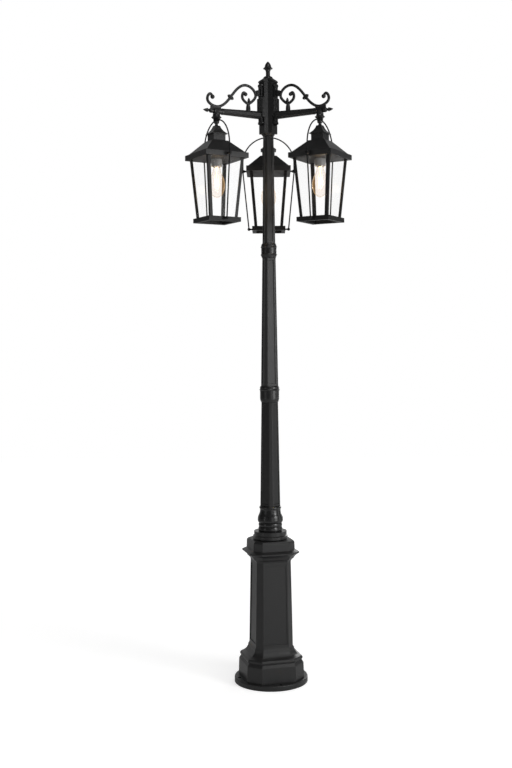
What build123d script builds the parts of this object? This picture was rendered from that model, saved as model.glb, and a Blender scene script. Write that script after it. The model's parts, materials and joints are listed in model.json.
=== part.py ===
"""Triple head lamp post: a cast pedestal, a screwed three-part pole and three hanging lanterns.

Millimetres, +Z up. The origin is the centre of the base plate's underside and the front looks along -Y.
Three equal arms leave the hub at ARM_HEADINGS. Arm and lantern pieces are drawn with +X pointing
outward along the arm, and then turned to each heading.
"""

from build123d import *
from math import sqrt
import os

# ------------------------------------------------------------------ base plate
BASE_RADIUS = 147.5
BASE_THICKNESS = 20.6
BASE_EDGE = 4.0  # rounding of the upper edge
ANCHOR_COUNT = 4
ANCHOR_CIRCLE = 263.0  # pitch circle diameter
ANCHOR_HOLE = 14.0
CABLE_HOLE = 50.0

# ------------------------------------------------------------------ pedestal, a chamfered square
PEDESTAL_TURN = 15.5  # the front face looks this many degrees to the right of the front
PEDESTAL_HEIGHT = 550.4
CHAMFER_REACH = 14.6  # the chamfer faces stand this much further out than the main faces
PLINTH_HALF = 118.0
PLINTH_DRAFT = 2.0
PLINTH_HEIGHT = 61.4
PLINTH_NOTCH = 9.4
PLINTH_BEVEL = 11.7
BEAD_HALF = 112.5
BEAD_HEIGHT = 15.8
FLARE_HALF = 81.5  # upper end of the flare over the bead
FLARE_HEIGHT = 27.5
FLARE_SAG = 5.0
FLARE_FILLET = 4.0
BODY_LOW = 129.4  # heights over the base plate
BODY_HIGH = 463.4
BODY_LOW_HALF = 76.7
BODY_HIGH_HALF = 70.7
COVE_HALF = 79.0
COVE_HEIGHT = 13.0
COVE_SAG = 2.0
LIP_HALF = 102.3
LIP_HEIGHT = 499.4  # underside of the lip over the base plate
LIP_THICKNESS = 5.5
CORNICE_STEP = 2.5
CORNICE_SAG = 2.5
CAP_HALF = 85.7
CAP_DRAFT = 1.2
CAP_LOW = 512.9
CAP_BEVEL = 6.5
PEDESTAL_WALL = 9.0
PEDESTAL_ROOF = 30.0
PANEL_BORDER = 5.5
PANEL_END = 11.0
PANEL_DEPTH = 3.0

# ------------------------------------------------------------------ pole foot, turned
FOOT_FLANGE_RADIUS = 70.0
FOOT_FLANGE_HEIGHT = 33.0
FOOT_FLANGE_DRAFT = 4.0
FLANGE_STEP_LOW = 15.0  # the flange's step, over the pedestal
FLANGE_STEP_HIGH = 18.0
BOWL_RADIUS = 47.5
BOWL_HEIGHT = 18.0
GROOVE_RADIUS = 46.0
FOOT_BEAD_HEIGHT = 15.0
FOOT_BEAD_SAG = 2.0
BELLY_RADIUS = 50.8
BELLY_HEIGHT = 15.0  # from the groove up to the belly's widest ring
BELLY_SAG = 2.2
SHOULDER_RADIUS = 46.1
SHOULDER_HEIGHT = 18.2  # over the belly
SHOULDER_SAG = 1.1
THROAT_RADIUS = 41.4
THROAT_HEIGHT = 40.5  # from the belly up to the neck
THROAT_SAG = 1.5
FOOT_RING_RADIUS = 44.4
FOOT_RING_HEIGHT = 11.0

# ------------------------------------------------------------------ pole, three shafts and two couplings
CORNER_SHARE = 0.68  # width of a shaft's main face over its width across main faces
SHAFT_PANEL_BORDER = 6.0
SHAFT_PANEL_END = 10.0
SHAFT_PANEL_DEPTH = 2.4
LOWER_TURN = 50.5
LOWER_LENGTH = 419.5
LOWER_HALVES = (33.5, 28.0)  # half size across main faces at the bottom and the top
MIDDLE_TURN = 20.5
MIDDLE_LENGTH = 517.0
MIDDLE_HALVES = (29.8, 23.2)
UPPER_TURN = 20.5
UPPER_LENGTH = 433.0
UPPER_HALVES = (22.2, 18.1)
LOWER_COUPLING = 65.0
LOWER_SLEEVE_RADIUS = 39.0
UPPER_COUPLING = 59.0
UPPER_SLEEVE_RADIUS = 31.3
COUPLING_LIP = 0.3  # how far a coupling's end stands out past the shaft's corners
RING_PROUD = 2.4  # sharp ring over the sleeve
RING_WIDTH = 8.0
RING_HIGH = 15.0  # middle of a ring under the coupling's top
RING_LOW = 12.5  # middle of a ring over the coupling's bottom
NIPPLE_RADIUS = 12.5
NIPPLE_BORE = 9.0
NIPPLE_ENGAGEMENT = 25.0
NIPPLE_CLEARANCE = 0.25

# ------------------------------------------------------------------ hub
ARM_HEADINGS = {"left": 210.0, "right": 330.0, "rear": 90.0}
HUB_COLLAR_HEIGHT = 9.0
HUB_COLLAR_RADII = (22.5, 29.0)
HUB_HEIGHT = 207.0
HUB_FACE = 30.0  # from the axis to each of the three faces
HUB_FACE_HALF = 22.0
CAP_LIP_PROUD = 3.4
CAP_LIP_HEIGHT = 5.5
CAP_SLOPE_HEIGHT = 12.0
CAP_RIM_RADIUS = 40.2
CAP_TOP_RADIUS = 21.6
CAP_SAG = 1.0
DOME_RADIUS = 20.0
DOME_HEIGHT = 9.0
DOME_SAG = 3.0
FINIAL_NECK_RADIUS = 8.6
FINIAL_NECK_TOP = 27.5  # heights over the cap's slope
FINIAL_RING_RADIUS = 19.2
FINIAL_RING_HEIGHT = 40.0
FINIAL_RING_EDGE = 2.0
FINIAL_BUD_RADIUS = 13.2
FINIAL_BUD_BASE = 48.5
FINIAL_HEIGHT = 69.5
FINIAL_SAG = 2.4
FINIAL_NECK_SAG = 0.8
TIP_RADIUS = 0.8  # small flat at the end of every rounded tip

# ------------------------------------------------------------------ bracket plates and their screws
PLATE_THICKNESS = 7.85
PLATE_HALF = 23.0
PLATE_LOW = 64.0  # heights over the hub's underside
PLATE_HIGH = 142.0
TONGUE_HALF = 12.5
TONGUE_TOP = 193.0
TONGUE_BOTTOM = 42.0
LOBE_RADIUS = 6.0
LOBE_OFFSET = 10.5
LEAF_HALF = 6.0
LEAF_LENGTH = 11.0
LUG_WIDTH = 12.0
LUG_LOW = 149.0
LUG_HIGH = 171.0
LUG_REACH = 54.0  # from the post's axis
SCREW_HEIGHTS = (49.0, 116.0)
SCREW_HEAD_RADIUS = 4.0
SCREW_HEAD_HEIGHT = 2.2
SCREW_RADIUS = 2.5
SCREW_GRIP = 9.0  # length in the hub behind the plate
SCREW_HEAD_SAG = 0.5
SCREW_CLEARANCE = 0.15

# ------------------------------------------------------------------ arms
ARM_BOTTOM = 57.5  # underside over the hub's underside
ARM_ROOT_SIZE = 30.0
ARM_END_SIZE = 23.0
ARM_CORNER_SHARE = 0.29
ARM_END = 207.0  # from the post's axis
HANG_RADIUS = 235.0
BARREL_RADIUS = 11.2
BARREL_COLLAR = 12.8
BARREL_COLLAR_WIDTH = 5.0
BARREL_END = 247.0
BULB_END_RADIUS = 9.5
BULB_END_NECK = 6.5
BULB_END_WIDTH = 21.0
SPEAR_RADIUS = 7.8
SPEAR_NECK = 3.6
SPEAR_SHOULDER = 6.0
SPEAR_LENGTH = 25.0
SPEAR_SAG = 0.9
BULB_END_SAG = 1.8
BOSS_RADIUS = 13.0
BOSS_DROP = 0.5  # how far the boss reaches below the arm

# ------------------------------------------------------------------ scroll brackets
# points of the bar's middle line: distance from the post's axis, height over the hub's underside
SCROLL_RADIUS = 5.5
CURL_START = (255.0, 129.5)
CURL_CROWN = (261.5, 134.5)
CURL_SIDE = (274.5, 115.0)
CURL_LOW = (255.5, 92.0)
SCROLL_FOOT = (223.5, 88.5)
SCROLL_RISE = (196.0, 104.0)
SCROLL_SHOULDER = (146.8, 161.6)
LOOP_TOP = (108.4, 185.3)
LOOP_BACK = (70.5, 173.0)
LOOP_SIDE = (58.0, 148.0)
LOOP_LOW = (68.5, 129.5)
SCROLL_JOINT = (92.0, 112.3)
INNER_RISE = (108.0, 121.0)
INNER_SIDE = (119.0, 137.0)
INNER_CROWN = (111.0, 155.5)
INNER_END = (106.5, 153.5)
CURL_BALL = (251.7, 123.4)
CURL_BALL_RADIUS = 8.6
INNER_BALL = (104.1, 149.8)
INNER_BALL_RADIUS = 8.0
BALUSTER_LOW_RADIUS = 7.8
BALUSTER_RADIUS = 9.2
BALUSTER_TOP_RADIUS = 5.6
BALUSTER_BELLY = 94.0  # heights over the hub's underside
BALUSTER_SAG = 0.8
BUD_AT = 89.0  # from the post's axis
BUD_RADIUS = 6.0
BUD_SHOULDER = 125.5
BUD_SAG = 0.9
BUD_TIP = 137.5
SADDLE_START = 216.0
SADDLE_END = 260.0
SADDLE_WIDTH = 9.0
KNOT_AT = (171.5, 130.5)
KNOT_SLOPE = 51.0  # degrees that the bar falls outward there
KNOT_LENGTH = 11.0
KNOT_HALF = 7.5
KNOT_TIP = 14.0
KNOT_WIDTH = 13.0

# ------------------------------------------------------------------ bell and hanger
BELL_HEIGHT = 20.3
BELL_TOP_RADIUS = 14.6
BELL_RADIUS = 20.3
BELL_WIDEST = 13.0  # below its top
BELL_NECK_RADIUS = 10.4
BELL_SAG = 2.6
SWIVEL_GAP = 0.3
STEM_RADIUS = 4.5
STEM_INSERT = 14.0
STEM_FIT = 0.1
STEM_TIP_GAP = 0.6
EYE_RADIUS = 12.3
EYE_THICKNESS = 7.0
HANGER_BALL_RADIUS = 11.0
HANGER_BALL_HEIGHT = 11.0
HANGER_BALL_SAG = 3.0
HANGER_WAIST = 6.4
HANGER_FLARE_HEIGHT = 8.4
HANGER_FLARE_SAG = 2.0
HANGER_FOOT_RADIUS = 10.6

# ------------------------------------------------------------------ lantern
CUPOLA_PEAK_HALF = 11.0
CUPOLA_EAVE_HALF = 33.0
CUPOLA_HEIGHT = 34.0
CUPOLA_SAG = 3.4
CUPOLA_EDGE = 2.0
CUPOLA_BOX_HALF = 26.5
CUPOLA_BOX_HEIGHT = 26.0
ROOF_TOP_HALF = 34.0
ROOF_EAVE_HALF = 86.0
ROOF_HEIGHT = 51.0
ROOF_SHEET = 2.5
EAVE_HALF = 93.3
EAVE_HEIGHT = 20.6
CEILING_THICKNESS = 3.0
CEILING_CLEARANCE = 0.2
CEILING_HOLE = 10.0
CAGE_HEIGHT = 230.2
CAGE_TOP_HALF = 79.0
CAGE_BOTTOM_HALF = 60.5
POST_LEG = 12.5
POST_SHEET = 2.5
RAIL_HALF = 70.0
RAIL_INNER_HALF = 54.0
RAIL_HEIGHT = 17.7
GLASS_THICKNESS = 2.5
GLASS_CLEARANCE = 0.3
GLASS_CORNER = 4.0  # how far each pane stops short of the corner

# ------------------------------------------------------------------ bail
BAIL_WIRE = 5.5
BAIL_REACH = 109.0
BAIL_FOOT = 84.5
BAIL_BEND = 100.0
BAIL_BEND_HEIGHT = 5.0  # of the bend over the eave's underside
KNOB_HEIGHT = 10.0  # of the upper knobs over the eave's underside
KNOB_AHEAD = 9.7  # how far a knob stands out past the bail's middle line
KNOB_BEHIND = 7.0  # where its head starts behind that line
KNOB_RADIUS = 6.4
KNOB_SHANK = 3.8
KNOB_ROUND = 2.5
KNOB_SAG = 1.0
BALL_KNOB_RADIUS = 6.5
BALL_KNOB_SHANK = 3.4
BALL_KNOB_HEIGHT = 10.5  # over the rail's underside

# ------------------------------------------------------------------ socket and bulb
SOCKET_RADIUS = 21.5
SOCKET_HEIGHT = 28.4
SOCKET_RIM = 1.5
SOCKET_ROOF = 4.0
SCALLOP_COUNT = 10
SCALLOP_RADIUS = 4.5
SCALLOP_DEPTH = 2.3
BULB_CAP_RADIUS = 13.0
BULB_CAP_CLEARANCE = 0.4
BULB_CAP_SHOW = 3.0
CAP_PIP_RADIUS = 5.0
CAP_PIP_HEIGHT = 3.0
BULB_RADIUS = 32.0
BULB_LENGTH = 119.0  # of the glass
BULB_NECK_RADIUS = 14.5
BULB_WIDEST = 69.0  # below the glass's upper end
BULB_SHOULDER = 36.0
BULB_SHOULDER_RADIUS = 24.0
BULB_SHOULDER_SAG = 2.0
BULB_CHEEK = 32.0  # below the widest ring
BULB_CHEEK_RADIUS = 25.0
BULB_CHEEK_SAG = 1.8
BULB_DOME_SAG = 3.3
BULB_WALL = 1.2
BULB_TIP_RADIUS = 3.0
GLASS_STEM_RADIUS = 6.0
GLASS_STEM_LENGTH = 26.0
FILAMENT_RADIUS = 9.0
FILAMENT_COUNT = 6
FILAMENT_LENGTH = 62.0
FILAMENT_WIRE = 1.4
FILAMENT_HUB = 1.5

# ------------------------------------------------------------------ heights worked out from these
BASE_TOP = BASE_THICKNESS
PEDESTAL_TOP = BASE_TOP + PEDESTAL_HEIGHT
FOOT_BEAD_TOP = PEDESTAL_TOP + FOOT_FLANGE_HEIGHT + BOWL_HEIGHT + FOOT_BEAD_HEIGHT
FOOT_TOP = FOOT_BEAD_TOP + BELLY_HEIGHT + THROAT_HEIGHT + FOOT_RING_HEIGHT
LOWER_TOP = FOOT_TOP + LOWER_LENGTH
LOWER_COUPLING_TOP = LOWER_TOP + LOWER_COUPLING
MIDDLE_TOP = LOWER_COUPLING_TOP + MIDDLE_LENGTH
UPPER_COUPLING_TOP = MIDDLE_TOP + UPPER_COUPLING
UPPER_TOP = UPPER_COUPLING_TOP + UPPER_LENGTH
HUB_BOTTOM = UPPER_TOP + HUB_COLLAR_HEIGHT
HUB_TOP = HUB_BOTTOM + HUB_HEIGHT
BORE = NIPPLE_RADIUS + NIPPLE_CLEARANCE
ARM_LOW = HUB_BOTTOM + ARM_BOTTOM
ARM_ROOT = HUB_FACE + PLATE_THICKNESS
BARREL_Z = ARM_LOW + ARM_END_SIZE / 2
BELL_TOP = ARM_LOW - BOSS_DROP
EYE_TOP = BELL_TOP - BELL_HEIGHT - SWIVEL_GAP
EYE_BOTTOM = EYE_TOP - EYE_THICKNESS
CUPOLA_TOP = EYE_BOTTOM - HANGER_BALL_HEIGHT - HANGER_FLARE_HEIGHT
CUPOLA_EAVE = CUPOLA_TOP - CUPOLA_HEIGHT
ROOF_TOP = CUPOLA_EAVE - CUPOLA_BOX_HEIGHT
EAVE_TOP = ROOF_TOP - ROOF_HEIGHT
EAVE_LOW = EAVE_TOP - EAVE_HEIGHT
CAGE_LOW = EAVE_LOW - CAGE_HEIGHT
RAIL_LOW = CAGE_LOW - RAIL_HEIGHT
SOCKET_LOW = EAVE_LOW - SOCKET_HEIGHT
GLASS_TOP = SOCKET_LOW - BULB_CAP_SHOW
FAR = 4 * BASE_RADIUS


# ------------------------------------------------------------------ drawing helpers
def outline(start, *steps):
    """Edges in the XZ plane. A step (x, z) is a straight run; (x, z, sag) is an arc that bows by sag to
    the left of its travel, or to the right where sag is negative."""
    edges = []
    here = Vector(start[0], 0, start[1])
    for x, z, *bow in steps:
        there = Vector(x, 0, z)
        if bow:
            along = (there - here).normalized()
            middle = (here + there) / 2 + Vector(-along.Z, 0, along.X) * bow[0]
            edges.append(ThreePointArc(here, middle, there))
        else:
            edges.append(Line(here, there))
        here = there
    return edges


def turned(start, *steps):
    """A solid of revolution about Z: the outline is closed by a straight run back to its start."""
    return revolve(make_face(outline(start, *steps, start)), Axis.Z)


def rod(radius, low, high):
    """An upright cylinder between two heights."""
    return Pos(0, 0, low) * Cylinder(radius, high - low, align=(Align.CENTER, Align.CENTER, Align.MIN))


def block(half, low, high, half_y=None):
    """An upright square or oblong bar between two heights."""
    depth = half if half_y is None else half_y
    upright = (Align.CENTER, Align.CENTER, Align.MIN)
    return Pos(0, 0, low) * Box(2 * half, 2 * depth, high - low, align=upright)


def frustum(low_half, low, high_half, high):
    """A square block that tapers from one height to the other."""
    sections = [Pos(0, 0, low) * Rectangle(2 * low_half, 2 * low_half)]
    sections.append(Pos(0, 0, high) * Rectangle(2 * high_half, 2 * high_half))
    return loft(sections, ruled=True)


def chamfered_square(half, corner, height, turn):
    """A square section with cut corners: corner is half the width of each main face."""
    points = []
    for quarter in range(4):
        for tangent in (-corner, corner):
            points.append(Vector(half, tangent).rotate(Axis.Z, 90 * quarter))
    return Pos(0, 0, height) * Rot(0, 0, turn) * Polygon(*points, align=None)


def corner_of(half, reach):
    """Half the width of a main face where the chamfer faces stand out by reach."""
    return (half + reach) * sqrt(2) - half


def moulded(reach, turn, start, *steps):
    """A column with one outline on all eight sides of a chamfered square, mitred where they meet."""
    column = None
    for side in range(4):
        shift = reach * (side % 2)
        right = outline((start[0] + shift, start[1]), *[(x + shift, *rest) for x, *rest in steps])
        left = [mirror(edge, Plane.YZ) for edge in right]
        low = Line(left[0] @ 0, right[0] @ 0)
        high = Line(left[-1] @ 1, right[-1] @ 1)
        slab = extrude(make_face([*right, *left, low, high]), FAR, both=True)
        slab = Rot(0, 0, turn + 45 * side) * slab
        column = slab if column is None else column & slab
    return column


def panels(turn, low, high, border, depth):
    """Four tapered pockets for the main faces. low and high are (height, half, corner) of the column."""
    pockets = []
    for quarter in range(4):
        sections = []
        for height, half, corner in (low, high):
            pocket = Pos(half, 0, height) * Rectangle(2 * depth, 2 * (corner - border))
            sections.append(Rot(0, 0, turn + 90 * quarter) * pocket)
        pockets.append(loft(sections, ruled=True))
    return pockets


def heading(turn):
    """The angle of a face that looks turn degrees to the right of the front."""
    return turn - 90


def between(low, high, share):
    """The value at a share of the way from low to high."""
    return low + (high - low) * share


def at_hub(point):
    """A point of the XZ plane that is given by its distance from the axis and its height on the hub."""
    return Vector(point[0], 0, HUB_BOTTOM + point[1])


def bar_through(*points):
    """A round bar along a smooth line through points given for at_hub."""
    path = Spline(*[at_hub(point) for point in points])
    return sweep(Plane(origin=path @ 0, z_dir=path % 0) * Circle(SCROLL_RADIUS), path=path)


# ------------------------------------------------------------------ post
def base_plate():
    plate = rod(BASE_RADIUS, 0, BASE_THICKNESS)
    plate = fillet(plate.edges().group_by(Axis.Z)[-1], BASE_EDGE)
    holes = PolarLocations(ANCHOR_CIRCLE / 2, ANCHOR_COUNT, start_angle=heading(PEDESTAL_TURN))
    for place in holes:
        plate -= place * Cylinder(ANCHOR_HOLE / 2, 3 * BASE_THICKNESS)
    return plate - Cylinder(CABLE_HOLE / 2, 3 * BASE_THICKNESS)


def pedestal():
    bead_low = PLINTH_HEIGHT + PLINTH_BEVEL
    bead_high = bead_low + BEAD_HEIGHT
    flare_high = bead_high + FLARE_HEIGHT
    plinth_top_half = PLINTH_HALF - PLINTH_DRAFT
    notch_half = plinth_top_half - PLINTH_NOTCH + PLINTH_DRAFT
    steps = [
        (plinth_top_half, PLINTH_HEIGHT),
        (notch_half, bead_low),
        (notch_half, bead_high, notch_half - BEAD_HALF),
        (FLARE_HALF, flare_high, FLARE_SAG),
        (FLARE_HALF, flare_high + FLARE_FILLET),
        (BODY_LOW_HALF, BODY_LOW),
        (BODY_HIGH_HALF, BODY_HIGH),
        (COVE_HALF, BODY_HIGH + COVE_HEIGHT, COVE_SAG),
        (COVE_HALF + CORNICE_STEP, BODY_HIGH + COVE_HEIGHT + CORNICE_STEP),
        (LIP_HALF, LIP_HEIGHT, CORNICE_SAG),
        (LIP_HALF, LIP_HEIGHT + LIP_THICKNESS),
        (CAP_HALF, CAP_LOW),
        (CAP_HALF - CAP_DRAFT, PEDESTAL_HEIGHT - CAP_BEVEL),
        (CAP_HALF - CAP_BEVEL, PEDESTAL_HEIGHT),
    ]
    turn = heading(PEDESTAL_TURN)
    casting = Pos(0, 0, BASE_TOP) * moulded(CHAMFER_REACH, turn, (PLINTH_HALF, 0), *steps)

    inner_low = BODY_LOW_HALF - PEDESTAL_WALL
    inner_high = BODY_HIGH_HALF - PEDESTAL_WALL
    hollow = [chamfered_square(inner_low, corner_of(inner_low, CHAMFER_REACH), BASE_TOP, turn)]
    ceiling = PEDESTAL_TOP - PEDESTAL_ROOF
    hollow.append(chamfered_square(inner_high, corner_of(inner_high, CHAMFER_REACH), ceiling, turn))
    casting -= loft(hollow, ruled=True)
    casting -= rod(BORE, ceiling - PEDESTAL_WALL, PEDESTAL_TOP + PEDESTAL_WALL)

    ends = []
    for height in (BODY_LOW + PANEL_END, BODY_HIGH - PANEL_END):
        half = between(BODY_LOW_HALF, BODY_HIGH_HALF, (height - BODY_LOW) / (BODY_HIGH - BODY_LOW))
        ends.append((BASE_TOP + height, half, corner_of(half, CHAMFER_REACH)))
    return casting - panels(turn, *ends, PANEL_BORDER, PANEL_DEPTH)


def pole_foot():
    flange_top = PEDESTAL_TOP + FOOT_FLANGE_HEIGHT
    bowl_top = flange_top + BOWL_HEIGHT
    belly = FOOT_BEAD_TOP + BELLY_HEIGHT
    throat = belly + THROAT_HEIGHT
    return turned(
        (BORE, PEDESTAL_TOP),
        (FOOT_FLANGE_RADIUS - FOOT_FLANGE_DRAFT / 2, PEDESTAL_TOP),
        (FOOT_FLANGE_RADIUS, PEDESTAL_TOP + FOOT_FLANGE_DRAFT),
        (FOOT_FLANGE_RADIUS, PEDESTAL_TOP + FLANGE_STEP_LOW),
        (FOOT_FLANGE_RADIUS - FOOT_FLANGE_DRAFT, PEDESTAL_TOP + FLANGE_STEP_HIGH),
        (FOOT_FLANGE_RADIUS - FOOT_FLANGE_DRAFT, flange_top),
        (BOWL_RADIUS, flange_top),
        (GROOVE_RADIUS, bowl_top, -FOOT_BEAD_SAG),
        (GROOVE_RADIUS, FOOT_BEAD_TOP, -FOOT_BEAD_SAG),
        (BELLY_RADIUS, belly, -BELLY_SAG),
        (SHOULDER_RADIUS, belly + SHOULDER_HEIGHT, -SHOULDER_SAG),
        (THROAT_RADIUS, throat, THROAT_SAG),
        (THROAT_RADIUS, FOOT_TOP, THROAT_RADIUS - FOOT_RING_RADIUS),
        (BORE, FOOT_TOP),
    )


def shaft(turn, low, length, halves):
    """A tapered pole tube with a long panel in each main face."""
    angle = heading(turn)
    high = low + length
    ends = [(low, halves[0], CORNER_SHARE * halves[0]), (high, halves[1], CORNER_SHARE * halves[1])]
    tube = loft([chamfered_square(half, corner, z, angle) for z, half, corner in ends], ruled=True)
    tube -= rod(BORE, low - length, high + length)
    inner = []
    for height in (low + SHAFT_PANEL_END, high - SHAFT_PANEL_END):
        half = between(*halves, (height - low) / length)
        inner.append((height, half, CORNER_SHARE * half))
    return tube - panels(angle, *inner, SHAFT_PANEL_BORDER, SHAFT_PANEL_DEPTH)


def shaft_corner(half):
    """The radius of a shaft's corners."""
    return half * sqrt(1 + CORNER_SHARE**2)


def coupling(low, high, below, above, sleeve, ring_heights):
    """A turned sleeve between two shafts, with sharp rings. below and above are the shafts' halves."""
    low_radius = shaft_corner(below) + COUPLING_LIP
    high_radius = shaft_corner(above) + COUPLING_LIP
    first, last = ring_heights[0] - RING_WIDTH / 2, ring_heights[-1] + RING_WIDTH / 2
    steps = [(low_radius, low)]
    if len(ring_heights) == 1:
        steps.append((sleeve, low + RING_LOW + RING_WIDTH / 2, -RING_PROUD / 2))
    for middle in ring_heights:
        steps.append((sleeve, middle - RING_WIDTH / 2))
        steps.append((sleeve + RING_PROUD, middle))
        steps.append((sleeve, middle + RING_WIDTH / 2))
    steps.append((high_radius, high, -RING_PROUD / 2))
    steps.append((BORE, high))
    return turned((BORE, low), *steps)


def lower_coupling():
    rings = [LOWER_COUPLING_TOP - RING_HIGH]
    halves = (LOWER_HALVES[1], MIDDLE_HALVES[0])
    return coupling(LOWER_TOP, LOWER_COUPLING_TOP, *halves, LOWER_SLEEVE_RADIUS, rings)


def upper_coupling():
    rings = [MIDDLE_TOP + RING_LOW, UPPER_COUPLING_TOP - RING_HIGH]
    halves = (MIDDLE_HALVES[1], UPPER_HALVES[0])
    return coupling(MIDDLE_TOP, UPPER_COUPLING_TOP, *halves, UPPER_SLEEVE_RADIUS, rings)


def thread_nipples():
    """The pipe nipples that screw the pole together."""
    joints = [
        (PEDESTAL_TOP, PEDESTAL_TOP),
        (FOOT_TOP, FOOT_TOP),
        (LOWER_TOP, LOWER_COUPLING_TOP),
        (MIDDLE_TOP, UPPER_COUPLING_TOP),
        (UPPER_TOP, UPPER_TOP),
    ]
    nipples = []
    for low, high in joints:
        ends = (low - NIPPLE_ENGAGEMENT, high + NIPPLE_ENGAGEMENT)
        nipples.append(rod(NIPPLE_RADIUS, *ends) - rod(NIPPLE_BORE, *ends))
    return nipples


# ------------------------------------------------------------------ hub
def hub_section(height, proud=0.0):
    """Three blocks that meet on the axis: their side faces form a groove between the arms."""
    heel = HUB_FACE_HALF / sqrt(3)  # where neighbours that stand a third of a turn apart meet
    face = HUB_FACE + proud
    low_side = [(heel, -HUB_FACE_HALF), (face, -HUB_FACE_HALF)]
    high_side = [(face, HUB_FACE_HALF), (heel, HUB_FACE_HALF)]
    section = Sketch()
    for angle in ARM_HEADINGS.values():
        section += Rot(0, 0, angle) * Polygon((0, 0), *low_side, *high_side, align=None)
    return Pos(0, 0, height) * section


def screw_places(heading_angle):
    """Where the screws of one bracket plate enter the hub, with +Z pointing outward."""
    for height in SCREW_HEIGHTS:
        yield Rot(0, 0, heading_angle) * Pos(HUB_FACE, 0, HUB_BOTTOM + height) * Rot(0, 90, 0)


def hub():
    collar = turned(
        (0, UPPER_TOP),
        (HUB_COLLAR_RADII[0], UPPER_TOP),
        (HUB_COLLAR_RADII[1], HUB_BOTTOM),
        (0, HUB_BOTTOM),
    )
    casting = collar + extrude(hub_section(HUB_BOTTOM), HUB_HEIGHT)
    casting -= rod(BORE, UPPER_TOP - NIPPLE_ENGAGEMENT, UPPER_TOP + NIPPLE_ENGAGEMENT + NIPPLE_BORE)
    for angle in ARM_HEADINGS.values():
        for place in screw_places(angle):
            casting -= place * Cylinder(SCREW_RADIUS + SCREW_CLEARANCE, 2 * (SCREW_GRIP + SCREW_CLEARANCE))
    return casting


def top_finial():
    lip_top = HUB_TOP + CAP_LIP_HEIGHT
    slope_top = lip_top + CAP_SLOPE_HEIGHT
    dome_top = slope_top + DOME_HEIGHT
    blocks = extrude(hub_section(HUB_TOP, CAP_LIP_PROUD), slope_top - HUB_TOP)
    cap = blocks & turned(
        (0, HUB_TOP),
        (CAP_RIM_RADIUS, HUB_TOP),
        (CAP_RIM_RADIUS, lip_top),
        (CAP_TOP_RADIUS, slope_top, CAP_SAG),
        (0, slope_top),
    )
    bud = turned(
        (0, lip_top),
        (DOME_RADIUS, lip_top),
        (DOME_RADIUS, slope_top),
        (FINIAL_NECK_RADIUS, dome_top, -DOME_SAG),
        (FINIAL_NECK_RADIUS, slope_top + FINIAL_NECK_TOP),
        (FINIAL_RING_RADIUS, slope_top + FINIAL_RING_HEIGHT, FINIAL_SAG),
        (FINIAL_RING_RADIUS, slope_top + FINIAL_RING_HEIGHT + FINIAL_RING_EDGE),
        (FINIAL_BUD_RADIUS, slope_top + FINIAL_BUD_BASE, FINIAL_NECK_SAG),
        (TIP_RADIUS, slope_top + FINIAL_HEIGHT, -FINIAL_SAG),
        (0, slope_top + FINIAL_HEIGHT),
    )
    return cap + bud


# ------------------------------------------------------------------ arm pieces, drawn along +X
def bracket_plate(scroll_solid):
    low = HUB_BOTTOM + PLATE_LOW
    high = HUB_BOTTOM + PLATE_HIGH
    top = HUB_BOTTOM + TONGUE_TOP
    bottom = HUB_BOTTOM + TONGUE_BOTTOM
    middle = (low + high) / 2
    shape = Pos(0, middle) * Rectangle(2 * PLATE_HALF, high - low)
    shape += Pos(0, (bottom + top) / 2) * Rectangle(2 * TONGUE_HALF, top - bottom)
    for end, out in ((top, 1), (bottom, -1)):
        for side in (-1, 1):
            shape += Pos(side * LOBE_OFFSET, end) * Circle(LOBE_RADIUS)
        leaf = [(-LEAF_HALF, end), (LEAF_HALF, end), (0, end + out * LEAF_LENGTH)]
        shape += Polygon(*leaf, align=None)
    plate = extrude(Plane.YZ.offset(HUB_FACE) * shape, PLATE_THICKNESS, dir=(1, 0, 0))
    lug_length = LUG_REACH - HUB_FACE
    lug = Box(lug_length, LUG_WIDTH, LUG_HIGH - LUG_LOW, align=(Align.MIN, Align.CENTER, Align.MIN))
    plate += Pos(HUB_FACE, 0, HUB_BOTTOM + LUG_LOW) * lug
    for place in screw_places(0):
        plate -= place * Cylinder(SCREW_RADIUS + SCREW_CLEARANCE, 3 * PLATE_THICKNESS)
    return plate - scroll_solid


def plate_screws():
    """Round-headed screws, one above and one below each arm."""
    screws = []
    for angle in ARM_HEADINGS.values():
        for place in screw_places(angle):
            head_top = PLATE_THICKNESS + SCREW_HEAD_HEIGHT
            screw = turned(
                (0, -SCREW_GRIP),
                (SCREW_RADIUS, -SCREW_GRIP),
                (SCREW_RADIUS, PLATE_THICKNESS),
                (SCREW_HEAD_RADIUS, PLATE_THICKNESS),
                (TIP_RADIUS, head_top, -SCREW_HEAD_SAG),
                (0, head_top),
            )
            screws.append(place * screw)
    return screws


def bar_section(size, at):
    """An upright eight-sided section of an arm, at a distance from the post's axis."""
    cut = ARM_CORNER_SHARE * size
    section = chamfer(Rectangle(size, size).vertices(), cut)
    return Plane.YZ.offset(at) * Pos(0, ARM_LOW + size / 2) * section


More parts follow.
